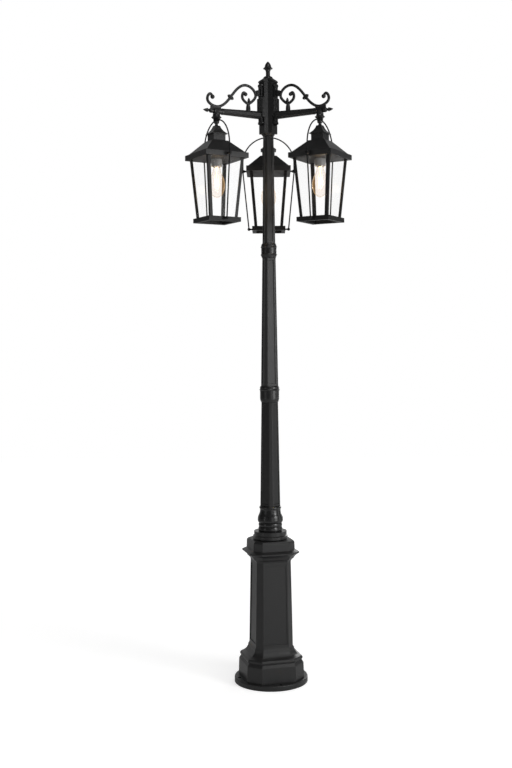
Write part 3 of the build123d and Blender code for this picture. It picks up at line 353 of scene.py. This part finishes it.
# %% [markdown]
# ## Who wears which finish
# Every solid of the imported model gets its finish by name. The names end in the side of the arm they
# belong to, so the first words are enough.

# %% Dress the solids
FINISH = {
    "base_plate": coats["cast"],
    "pedestal": coats["cast"],
    "pole_foot": coats["vase"],
    "lower_shaft": coats["tube"],
    "middle_shaft": coats["tube"],
    "upper_shaft": coats["tube"],
    "lower_coupling": coats["turned"],
    "upper_coupling": coats["turned"],
    "thread_nipples": zinc,
    "hub": coats["cast"],
    "top_finial": coats["cast"],
    "plate_screws": coats["turned"],
    "arm": coats["cast"],
    "scroll": coats["forged"],
    "bracket_plate": coats["carved"],
    "bell": coats["turned"],
    "hanger": coats["turned"],
    "bail": coats["wire"],
    "bail_knobs": coats["wire"],
    "cupola": coats["roof"],
    "roof": coats["roof"],
    "ceiling": coats["sheet"],
    "frame": coats["sheet"],
    "glass": pane_glass,
    "socket": porcelain,
    "bulb_glass": bulb_glass,
    "bulb_cap": cap_metal,
    "filament": filament_glow,
}


def stem_of(node):
    """The node's name without the side it is on."""
    for side in SIDES:
        node = node.removesuffix("_" + side)
    return node


def wear(piece, material):
    piece.data.materials.clear()
    piece.data.materials.append(material)


for name, thing in nodes.items():
    wear(thing, FINISH[stem_of(name)])
print("dressed", len(nodes))

# %% [markdown]
# ## Rounded edges
# No coated casting has a razor edge: the spray and the mould leave a radius of a millimetre or so, and that
# radius is what catches the light. A rounded copy of each hard-edged solid stands in for it. The copy's
# loose triangles are merged and its flat faces joined first, so that the bevel runs along real edges only.
#
# An operator acts on everything that is selected, and the loaded solids come in selected. So each step
# starts from an empty selection.

# %% Helpers for one object
MERGE_DISTANCE = 0.00001
FLAT_ANGLE = radians(0.6)


def select_only(thing):
    bpy.ops.object.select_all(action="DESELECT")
    thing.select_set(True)
    bpy.context.view_layer.objects.active = thing


def finish_modifiers(thing):
    select_only(thing)
    for modifier in list(thing.modifiers):
        bpy.ops.object.modifier_apply(modifier=modifier.name)


def copy_of(source, name):
    piece = bpy.data.objects.new(name, source.data.copy())
    bpy.context.scene.collection.objects.link(piece)
    return piece


def clean_copy(name, suffix):
    piece = copy_of(nodes[name], name + suffix)
    select_only(piece)
    bpy.ops.object.mode_set(mode="EDIT")
    bpy.ops.mesh.select_all(action="SELECT")
    bpy.ops.mesh.remove_doubles(threshold=MERGE_DISTANCE)
    bpy.ops.mesh.dissolve_limited(angle_limit=FLAT_ANGLE)
    bpy.ops.object.mode_set(mode="OBJECT")
    return piece


# %% Stand in for a solid
bodies = frame["record"]["behaviour"]["bodies"]
body_of = {node: body for body, names in bodies.items() for node in names}


def stand_in(piece, name):
    """The piece moves with the solid's body and is shown in its place."""
    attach(piece, body_of[name])
    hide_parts(name)
    print(piece.name, len(piece.data.polygons))


# %% [markdown]
# A bevel alone isn't enough. Smooth shading lets the round edge bend the light of the flat face beside it,
# and the face looks pillowed. The second modifier weighs each normal by its face's area, so flat stays flat.

# %% Round the edges
BEVEL_SEGMENTS = 2
SHARP_ANGLE = radians(30)
EDGE_RADII = {
    "base_plate": 0.0012,
    "pedestal": 0.0012,
    "lower_shaft": 0.0022,
    "middle_shaft": 0.0016,
    "upper_shaft": 0.0014,
    "hub": 0.0010,
    "top_finial": 0.0008,
    "arm": 0.0010,
    "cupola": 0.0008,
    "roof": 0.0009,
    "frame": 0.0005,
}


def round_edges(piece, width):
    bevel = piece.modifiers.new("edge", "BEVEL")
    bevel.width = width
    bevel.segments = BEVEL_SEGMENTS
    bevel.limit_method = "ANGLE"
    bevel.angle_limit = SHARP_ANGLE
    finish_modifiers(piece)
    bpy.ops.object.shade_smooth_by_angle(angle=SHARP_ANGLE)
    piece.modifiers.new("flat_stays_flat", "WEIGHTED_NORMAL").keep_sharp = True
    finish_modifiers(piece)


for name in list(nodes):
    if stem_of(name) in EDGE_RADII:
        piece = clean_copy(name, "_rounded")
        round_edges(piece, EDGE_RADII[stem_of(name)])
        stand_in(piece, name)

# %% [markdown]
# ## Bracket plates
# Each arm leaves the hub through a cast plate. The casting has a raised border that follows its outline, and
# carved leaves over and under the arm. The border could be a bent wire laid on the plate, but it is part of
# the casting. So it is an inset of the plate's front faces, and the ring that the inset leaves is drawn out
# by less than a millimetre. It is done once for each plate, before its edges are rounded, because the three
# plates are separate castings.

# %% Pick by place
def pick(thing, elements, wanted, kind):
    """Selects the vertices, edges or faces that are wanted, nothing else, and enters edit mode."""
    select_only(thing)
    for item in (*thing.data.vertices, *thing.data.edges, *thing.data.polygons):
        item.select = False
    for item in elements:
        item.select = wanted(item)
    bpy.ops.object.mode_set(mode="EDIT")
    bpy.ops.mesh.select_mode(type=kind)


# %% Faces of a plate
HEADINGS = {"left": radians(210.0), "right": radians(330.0), "rear": radians(90.0)}
PLATE_FRONT = 0.03785
ALIGNED = 0.99
SAME_DEPTH = 0.0002


def in_front(face, outward):
    """True for a flat face that looks outward at the plate's front."""
    depth = face.center.dot(outward)
    return face.normal.dot(outward) > ALIGNED and abs(depth - PLATE_FRONT) < SAME_DEPTH


# %% Raise the borders
BORDER_WIDTH = 0.0016
BORDER_HEIGHT = 0.0008
BORDER_RADIUS = 0.0004
for side, angle in HEADINGS.items():
    name = "bracket_plate_" + side
    outward = Vector((cos(angle), sin(angle), 0.0))
    piece = clean_copy(name, "_carved")
    faces = piece.data.polygons
    pick(piece, faces, lambda face: in_front(face, outward), "FACE")
    bpy.ops.mesh.inset(thickness=BORDER_WIDTH, depth=0.0)
    bpy.ops.object.mode_set(mode="OBJECT")
    faces = piece.data.polygons
    field = {face.index for face in faces if face.select}
    pick(piece, faces, lambda face: in_front(face, outward) and face.index not in field, "FACE")
    bpy.ops.mesh.extrude_region_move(TRANSFORM_OT_translate={"value": outward * BORDER_HEIGHT})
    bpy.ops.object.mode_set(mode="OBJECT")
    round_edges(piece, BORDER_RADIUS)
    stand_in(piece, name)

# %% [markdown]
# The leaves are the drop shapes of old ironwork: a pointed bud between two side leaves at the top, a long
# husk above and one below the middle screw with a slim leaf on each side, and two hanging leaves at the
# foot. They could be sculpted. Here every leaf starts as a ball that is flattened, and its upper rings are
# drawn in step by step towards a point, so that a short table is enough to move and size them.

# %% One leaf
TIP_STEPS = (0.0, 0.3, 0.55, 0.75, 0.9)
TIP_SHRINK = 0.8


def settle(piece):
    """Writes the piece's place, turn and scale into its mesh and leaves its origin at the world's."""
    select_only(piece)
    bpy.ops.object.transform_apply(location=True, rotation=True, scale=True)


def leaf(width, length, thickness, across, height, lean):
    """A pointed leaf on the front of a plate: across and height place its middle, lean turns its tip."""
    bpy.ops.object.select_all(action="DESELECT")
    bpy.ops.mesh.primitive_uv_sphere_add(segments=20, ring_count=14, radius=1.0, location=(0, 0, 0))
    piece = bpy.context.active_object
    for step in TIP_STEPS:
        pick(piece, piece.data.vertices, lambda point: point.co.z > step, "VERT")
        bpy.ops.transform.resize(value=(TIP_SHRINK, TIP_SHRINK, 1.0), center_override=(0, 0, 0))
        bpy.ops.object.mode_set(mode="OBJECT")
    piece.scale = (thickness, width / 2, length / 2)
    piece.location = (PLATE_FRONT, across, height)
    piece.rotation_euler = (lean, 0.0, 0.0)
    settle(piece)
    return piece


# %% [markdown]
# The carving is the same on both sides of its middle line, so the table holds the middle leaves and those
# on one side, and the loop adds the mirrored ones. All the leaves of one plate are joined into one carving,
# and a copy of it is turned to each arm.

# %% Carve one plate's leaves
HUB_LOW = 2.206
LEAVES = [
    # width, length, thickness, across, height over the hub's underside, lean in degrees
    (0.0100, 0.0240, 0.0030, 0.0, 0.1835, 0),
    (0.0075, 0.0150, 0.0026, 0.0085, 0.1790, -38),
    (0.0085, 0.0200, 0.0028, 0.0, 0.1350, 0),
    (0.0085, 0.0170, 0.0028, 0.0, 0.1000, 180),
    (0.0065, 0.0190, 0.0024, 0.0165, 0.1290, -12),
    (0.0065, 0.0190, 0.0024, 0.0165, 0.1020, -168),
    (0.0075, 0.0140, 0.0026, 0.0085, 0.0540, -142),
]


def join(pieces):
    """Joins the pieces into the first of them."""
    bpy.ops.object.select_all(action="DESELECT")
    for piece in pieces:
        piece.select_set(True)
    bpy.context.view_layer.objects.active = pieces[0]
    bpy.ops.object.join()
    return bpy.context.active_object


carved = []
for width, length, thickness, across, height, lean in LEAVES:
    for mirrored in (1, -1) if across else (1,):
        place = (mirrored * across, HUB_LOW + height, radians(mirrored * lean))
        carved.append(leaf(width, length, thickness, *place))
first_carving = join(carved)
bpy.ops.object.shade_smooth()
print("carving", len(first_carving.data.polygons))

# %% Turn a copy to each arm
def remove(thing):
    select_only(thing)
    bpy.ops.object.delete()


for side, angle in HEADINGS.items():
    piece = copy_of(first_carving, "plate_leaves_" + side)
    piece.rotation_euler = (0.0, 0.0, angle)
    settle(piece)
    wear(piece, coats["carved"])
    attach(piece, "post")
    print(piece.name)
remove(first_carving)

# %% [markdown]
# ## Plate screws
# Two screws hold each plate. They are pan heads with a cross recess: a short cylinder whose upper rim is
# rounded. The recess could be pressed in by moving points, but a boolean of two crossed bars gives it
# straight walls. One screw is made and copied.

# %% A pan head
HEAD_RADIUS = 0.004
HEAD_HEIGHT = 0.0022
HEAD_ROUNDING = 0.0011
bpy.ops.object.select_all(action="DESELECT")
bpy.ops.mesh.primitive_cylinder_add(
    vertices=32, radius=HEAD_RADIUS, depth=HEAD_HEIGHT, location=(0, 0, HEAD_HEIGHT / 2)
)
head = bpy.context.active_object
points = head.data.vertices


def on_top_rim(edge):
    return min(points[end].co.z for end in edge.vertices) > HEAD_HEIGHT * 0.9


pick(head, head.data.edges, on_top_rim, "EDGE")
bpy.ops.mesh.bevel(offset=HEAD_ROUNDING, segments=5, profile=0.5)
bpy.ops.object.mode_set(mode="OBJECT")
print("head", len(head.data.polygons))

# %% The cross recess
BAR_SIZE = (0.0042, 0.0009, 0.0022)
bars = []
for turn in (0.0, pi / 2):
    bpy.ops.mesh.primitive_cube_add(size=1.0, location=(0, 0, HEAD_HEIGHT), rotation=(0, 0, turn))
    bar = bpy.context.active_object
    bar.scale = BAR_SIZE
    settle(bar)
    bars.append(bar)
recess = join(bars)
cut = head.modifiers.new("recess", "BOOLEAN")
cut.operation = "DIFFERENCE"
cut.use_self = True
cut.object = recess
finish_modifiers(head)
remove(recess)
print("with recess", len(head.data.polygons))

# %% The shank behind the head
SHANK_RADIUS = 0.0025
SHANK_LENGTH = 0.0155
bpy.ops.mesh.primitive_cylinder_add(
    vertices=24, radius=SHANK_RADIUS, depth=SHANK_LENGTH, location=(0, 0, -SHANK_LENGTH / 2)
)
screw = join([head, bpy.context.active_object])
screw.rotation_euler = (0.0, pi / 2, 0.0)
screw.location = (PLATE_FRONT, 0.0, 0.0)
settle(screw)
print("screw", len(screw.data.polygons))

# %% Six copies
SCREW_HEIGHTS = (0.049, 0.116)
copies = []
for angle in HEADINGS.values():
    for height in SCREW_HEIGHTS:
        piece = copy_of(screw, "screw")
        piece.rotation_euler = (0.0, 0.0, angle)
        piece.location = (0.0, 0.0, HUB_LOW + height)
        settle(piece)
        copies.append(piece)
remove(screw)
screws = join(copies)
screws.name = "cross_head_screws"
bpy.ops.object.shade_smooth_by_angle(angle=SHARP_ANGLE)
wear(screws, coats["turned"])
stand_in(screws, "plate_screws")

# %% [markdown]
# ## Screw caps of the bulbs
# A bulb ends in a rolled sheet thread, a ring of black glass and a soldered contact. It shows when a bulb is
# taken out. A stack of rings would pass for a thread from afar, but a true helix costs little more. The cap
# starts as a cylinder whose upright edges are subdivided into rings. Each point then moves inward by an
# amount that follows both its height and its turn. The shoulder, the glass ring and the contact are extruded
# from the top face.

# %% The thread's wave
THREAD_PITCH = 0.0036
THREAD_DEPTH = 0.0010
THREAD_START = 0.0035
THREAD_END = 0.0190


def thread_depth(height, turn):
    """How far the rolled sheet dips inward: nothing at the plain ends, a wave between them."""
    wave = 0.5 - 0.5 * cos(2 * pi * (height / THREAD_PITCH - turn))
    run_out = min(height - THREAD_START, THREAD_END - height) / THREAD_PITCH
    return THREAD_DEPTH * wave * min(max(run_out, 0.0), 1.0)


# %% Roll the thread
CAP_RADIUS = 0.013
SKIRT_HEIGHT = 0.0205
RINGS = 64
bpy.ops.object.select_all(action="DESELECT")
bpy.ops.mesh.primitive_cylinder_add(
    vertices=56, radius=CAP_RADIUS, depth=SKIRT_HEIGHT, location=(0, 0, SKIRT_HEIGHT / 2)
)
cap = bpy.context.active_object
settle(cap)
points = cap.data.vertices


def upright(edge):
    first, second = (points[end].co for end in edge.vertices)
    return abs(first.z - second.z) > SKIRT_HEIGHT / 2


pick(cap, cap.data.edges, upright, "EDGE")
bpy.ops.mesh.subdivide(number_cuts=RINGS)
bpy.ops.object.mode_set(mode="OBJECT")
for point in cap.data.vertices:
    turn = atan2(point.co.y, point.co.x) / (2 * pi)
    inward = 1.0 - thread_depth(point.co.z, turn) / CAP_RADIUS
    point.co.x *= inward
    point.co.y *= inward
print("thread", len(cap.data.polygons))

# %% Shoulder, glass ring and contact
TOP_STEPS = [
    # rise, and the new face's size as a share of the one before
    (0.0010, 0.90),
    (0.0010, 0.86),
    (0.0015, 0.70),
    (0.0006, 0.90),
    (0.0014, 1.00),
    (0.0007, 0.75),
]


def on_top(face):
    return face.normal.z > ALIGNED and face.center.z > SKIRT_HEIGHT * 0.99


pick(cap, cap.data.polygons, on_top, "FACE")
height = SKIRT_HEIGHT
for rise, share in TOP_STEPS:
    bpy.ops.mesh.extrude_region_move(TRANSFORM_OT_translate={"value": (0, 0, rise)})
    bpy.ops.transform.resize(value=(share, share, 1.0), center_override=(0, 0, height + rise))
    height += rise
bpy.ops.object.mode_set(mode="OBJECT")
bpy.ops.object.shade_smooth_by_angle(angle=radians(50))
print("cap height", round(height, 4))

# %% Three materials on one cap
for material in (cap_metal, insulator, solder):
    cap.data.materials.append(material)
glass_low = SKIRT_HEIGHT + TOP_STEPS[0][0] + TOP_STEPS[1][0]
glass_high = glass_low + TOP_STEPS[2][0]
for face in cap.data.polygons:
    face.material_index = (face.center.z > glass_low) + (face.center.z > glass_high)
print("cap materials", len(cap.data.materials))

# %% One cap on each bulb
for side in SIDES:
    low, high = (Vector(corner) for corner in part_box("bulb_cap_" + side))
    piece = copy_of(cap, "threaded_cap_" + side)
    piece.location = ((low.x + high.x) / 2, (low.y + high.y) / 2, low.z)
    settle(piece)
    stand_in(piece, "bulb_cap_" + side)
remove(cap)

# %% [markdown]
# ## Floor
# The photograph's background is plain white. More light would turn the floor white, but it would fall on the
# post too and grey its black. So the floor is a pale grey, and only the camera sees an added light on it.
# That light grows with the distance from the post, because the lamps reach less far there. Beside the base
# it only just makes white, so that the soft shadow stays.

# %% Pale floor
FLOOR_GREY = (0.74, 0.74, 0.74, 1.0)
NEAR, FAR = 0.3, 4.5
NEAR_LIGHT, FAR_LIGHT = 0.53, 0.72
bpy.ops.mesh.primitive_plane_add(size=16.0, location=(0, 0, -0.0005))
floor = bpy.context.active_object
floor.name = "studio_floor"
pale, tree, shader = new_material("pale_floor")
shader.inputs["Base Color"].default_value = FLOOR_GREY
shader.inputs["Roughness"].default_value = 0.9
shader.inputs["Specular IOR Level"].default_value = 0.0
shader.inputs["Emission Color"].default_value = (1.0, 1.0, 1.0, 1.0)
seen = tree.nodes.new("ShaderNodeLightPath")
rays = calculate(tree, "MAXIMUM", seen.outputs["Is Camera Ray"], seen.outputs["Is Transmission Ray"])
distance = tree.nodes.new("ShaderNodeVectorMath")
distance.operation = "LENGTH"
tree.links.new(object_place(tree), distance.inputs[0])
added = remap(tree, distance.outputs["Value"], NEAR, FAR, NEAR_LIGHT, FAR_LIGHT)
tree.links.new(calculate(tree, "MULTIPLY", rays, added), shader.inputs["Emission Strength"])
floor.data.materials.append(pale)
print("floor", floor.name)

# %% [markdown]
# ## Room
# The room is white to the camera. In the coat's mirror image only the wall behind the post is bright, from
# the horizon to some thirty degrees over it: the ceiling and the camera's side are dim, as in a studio with
# black drapes in front. That keeps the coat black and draws bright edges on the pole. Rays that scatter get
# an even grey light.

# %% World
ROOM_LIGHT = (0.38, 0.38, 0.38, 1.0)
WALL_LIGHT = 0.55
DRAPES = 0.05
world = bpy.data.worlds.new("studio_room")
bpy.context.scene.world = world
world.use_nodes = True
tree = world.node_tree
tree.nodes.clear()
seen = tree.nodes.new("ShaderNodeLightPath")
white = calculate(tree, "MAXIMUM", seen.outputs["Is Camera Ray"], seen.outputs["Is Transmission Ray"])
look = tree.nodes.new("ShaderNodeSeparateXYZ")
tree.links.new(tree.nodes.new("ShaderNodeTexCoord").outputs["Generated"], look.inputs[0])
behind = remap(tree, look.outputs["Y"], 0.42, 0.95, 0.0, 1.0)
under_ceiling = remap(tree, look.outputs["Z"], 0.55, 0.9, 1.0, 0.0)
over_floor = remap(tree, look.outputs["Z"], -0.2, 0.0, 0.15, 1.0)
wall = calculate(tree, "MULTIPLY", behind, calculate(tree, "MULTIPLY", under_ceiling, over_floor))
mirrored = calculate(tree, "MULTIPLY_ADD", wall, WALL_LIGHT, DRAPES)
room = mix_colour(tree, seen.outputs["Is Glossy Ray"], ROOM_LIGHT, mirrored)
background = tree.nodes.new("ShaderNodeBackground")
background.inputs["Color"].default_value = (1.0, 1.0, 1.0, 1.0)
tree.links.new(calculate(tree, "MAXIMUM", white, room), background.inputs["Strength"])
output = tree.nodes.new("ShaderNodeOutputWorld")
tree.links.new(background.outputs[0], output.inputs["Surface"])
print("world", world.name)

# %% [markdown]
# ## Studio lights
# On a black coat the lights show as highlights more than as brightness, so their places matter most. They
# were found by mirror angles: a face that is turned by some angle from the camera mirrors what stands at
# twice that angle. The key is a tall soft box on the right. A weaker one nearer the camera, one at the side
# and a narrow one on the left light the other faces, a small one sharpens the key's highlight, one hangs
# overhead for the roofs, and one at the back draws the right edges.

# %% Lights
AIM = Vector((0.0, 0.0, 1.3))
LIGHTS = [
    # name, degrees to the right of the front, distance, height, width, tall, watts
    ("key", 55, 3.5, 1.5, 1.4, 2.4, 46),
    ("front_right", 22, 3.8, 1.3, 1.2, 2.6, 11),
    ("overhead", 20, 1.9, 4.3, 1.6, 1.6, 26),
    ("small_right", 56, 1.8, 1.6, 0.45, 0.45, 6),
    ("side_right", 99, 3.6, 1.3, 1.0, 2.6, 8),
    ("back", 158, 3.8, 1.6, 1.4, 2.4, 30),
    ("fill", -54, 3.8, 1.4, 0.5, 2.6, 7),
]
for name, turn, distance, height, width, tall, watts in LIGHTS:
    lamp = bpy.data.lights.new(name, "AREA")
    lamp.shape = "RECTANGLE"
    lamp.size = width
    lamp.size_y = tall
    lamp.energy = watts
    box = bpy.data.objects.new(name, lamp)
    bpy.context.scene.collection.objects.link(box)
    box.location = (distance * sin(radians(turn)), -distance * cos(radians(turn)), height)
    box.rotation_euler = (AIM - Vector(box.location)).to_track_quat("-Z", "Y").to_euler()
print("lights", len(LIGHTS))

# %% [markdown]
# The lamps are lit. Each gets a small warm light inside its glass, which gives the glow on the bars beside
# it, on the ceiling over it and on the post. The rear one is weaker, because in the photograph next to
# nothing of it is seen beside the pole.

# %% Glow of the three bulbs
GLOW_COLOUR = (1.0, 0.70, 0.42)
GLOW_WATTS = {"left": 0.5, "right": 0.5, "rear": 0.2}
GLOW_RADIUS = 0.012
for side, watts in GLOW_WATTS.items():
    low, high = (Vector(corner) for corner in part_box("bulb_glass_" + side))
    lamp = bpy.data.lights.new("glow_" + side, "POINT")
    lamp.energy = watts
    lamp.color = GLOW_COLOUR
    lamp.shadow_soft_size = GLOW_RADIUS
    glow = bpy.data.objects.new("glow_" + side, lamp)
    bpy.context.scene.collection.objects.link(glow)
    glow.location = (low + high) / 2
    print(lamp.name, tuple(round(value, 3) for value in glow.location))

# %% [markdown]
# ## Camera
# The picture was taken level, from about 4.2 m in front of the post and 1.365 m above the ground. The values
# were fitted to points of the pole, the pedestal and the lanterns, in pixels of the photograph, which is 768
# pixels tall. Turning them into a lens keeps them right at any size of the render.

# %% Camera
FRAME_HEIGHT = 768
FOCAL_PIXELS = 1038.3
SHIFT_PIXELS = (-13.4, -41.9)
SENSOR = 36.0
ROLL = radians(0.31)
camera = bpy.data.cameras.new("camera")
camera.sensor_fit = "VERTICAL"
camera.sensor_height = SENSOR
camera.lens = FOCAL_PIXELS * SENSOR / FRAME_HEIGHT
camera.shift_x = SHIFT_PIXELS[0] / FRAME_HEIGHT
camera.shift_y = SHIFT_PIXELS[1] / FRAME_HEIGHT
eye = bpy.data.objects.new("camera", camera)
bpy.context.scene.collection.objects.link(eye)
eye.location = (0.0, -4.2, 1.3653)
eye.rotation_euler = (pi / 2, ROLL, 0.0)
bpy.context.scene.camera = eye
bpy.context.scene.view_settings.view_transform = "Standard"
print("lens", round(camera.lens, 2))
